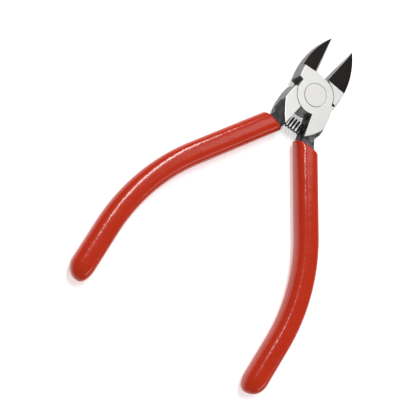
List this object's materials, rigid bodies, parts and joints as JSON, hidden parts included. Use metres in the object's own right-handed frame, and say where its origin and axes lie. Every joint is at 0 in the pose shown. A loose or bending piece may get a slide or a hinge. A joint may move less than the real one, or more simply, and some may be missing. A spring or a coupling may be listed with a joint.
{
  "type": "diagonal cutting pliers",
  "caption": "Small diagonal cutting pliers with two lap-jointed levers, slim tapered jaws, a coil return spring between the handles and dipped plastic grips.",
  "frame": {"origin": "on the rivet's axis, in the plane of the rear face", "axes": "+Y towards the jaw tips, along the middle line between the jaws; +Z out of the front face; +X to the right seen from the front"},
  "size_m": [0.0786, 0.1203, 0.008],
  "materials": {
    "lever_steel": "satin",
    "rivet_steel": "satin",
    "spring_wire": "blackened",
    "grip_plastic": "gloss"
  },
  "bodies": {
    "front": {"front_lever": "lever_steel", "front_lever_grip": "grip_plastic", "pivot_rivet": "rivet_steel", "return_spring": "spring_wire"},
    "rear": {"rear_lever": "lever_steel", "rear_lever_grip": "grip_plastic"}
  },
  "joints": [
    {"name": "jaw_pivot", "type": "hinge", "parent": "front", "child": "rear", "pos_m": [0, 0, 0], "axis": [0, 0, 1], "range_deg": [0, 21], "stiffness_Nm_per_rad": 0.1, "springref_deg": -20.05, "deforming": ["return_spring"]}
  ]
}
